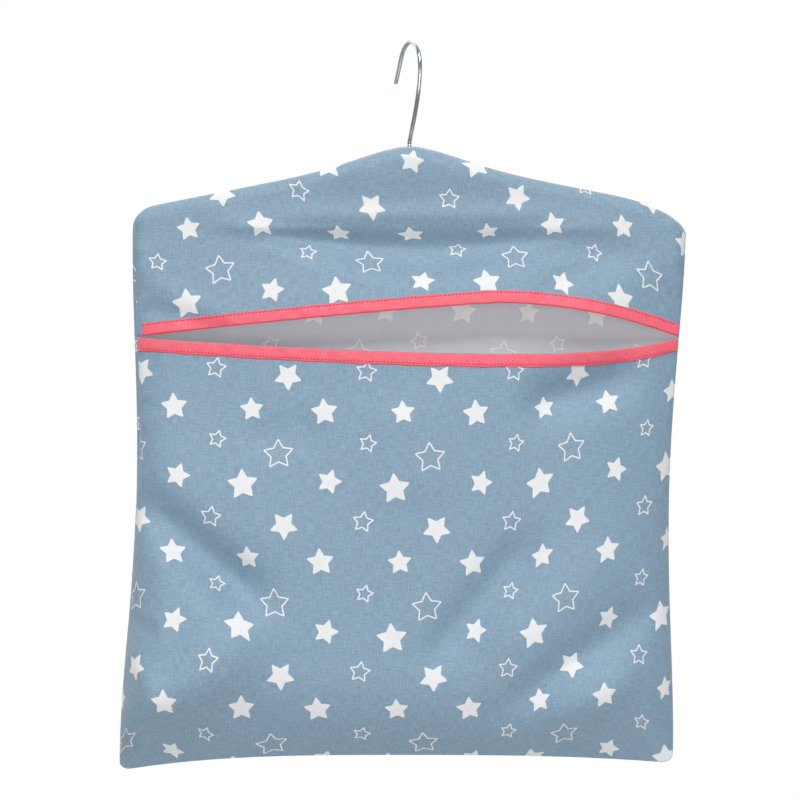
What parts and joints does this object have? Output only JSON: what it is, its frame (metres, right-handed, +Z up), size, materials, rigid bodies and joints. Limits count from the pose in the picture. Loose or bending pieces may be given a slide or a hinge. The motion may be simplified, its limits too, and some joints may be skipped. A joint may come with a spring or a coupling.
{
  "type": "peg bag",
  "caption": "Sewn cloth peg bag with a slit mouth bound in tape, hung from a small wooden coat-hanger bar with a swivelling wire hook.",
  "frame": {"origin": "underside of the hook's crown, the point that rests on a line or rail", "axes": "+Z up, +X to the right of someone who faces the mouth, -Y out of the front of the bag"},
  "size_m": [0.3848, 0.067, 0.4953],
  "materials": {
    "plated_wire": "bright plated wire",
    "washer_steel": "plain steel",
    "beech": "sanded, thin clear lacquer",
    "star_cotton": "blue cotton twill printed with white stars",
    "coral_tape": "folded coral bias tape with a slight sheen",
    "coral_thread": "sewing thread",
    "white_thread": "sewing thread"
  },
  "bodies": {
    "hook": {"hook": "plated_wire"},
    "bag": {"hook_washer": "washer_steel", "hanger_bar": "beech", "back_panel": "star_cotton", "front_yoke": "star_cotton", "yoke_binding": "coral_tape", "yoke_binding_stitching": "coral_thread", "slot_stitching_front": "white_thread", "slot_stitching_back": "white_thread", "shoulder_seam_left": "white_thread", "shoulder_seam_right": "white_thread", "side_seam_left": "white_thread", "side_seam_right": "white_thread", "hem_seam": "white_thread"},
    "pocket": {"pocket_front": "star_cotton", "pocket_binding": "coral_tape", "pocket_binding_stitching": "coral_thread"}
  },
  "joints": [
    {"name": "hook_swivel", "type": "hinge", "parent": "hook", "child": "bag", "pos_m": [0, 0, -0.084], "axis": [0, 0, 1], "continuous": true},
    {"name": "mouth_open", "type": "hinge", "parent": "bag", "child": "pocket", "pos_m": [0, 0, -0.4925], "axis": [1, 0, 0], "range_deg": [0, 8], "stiffness_Nm_per_rad": 0.3, "springref_deg": -3.44}
  ]
}
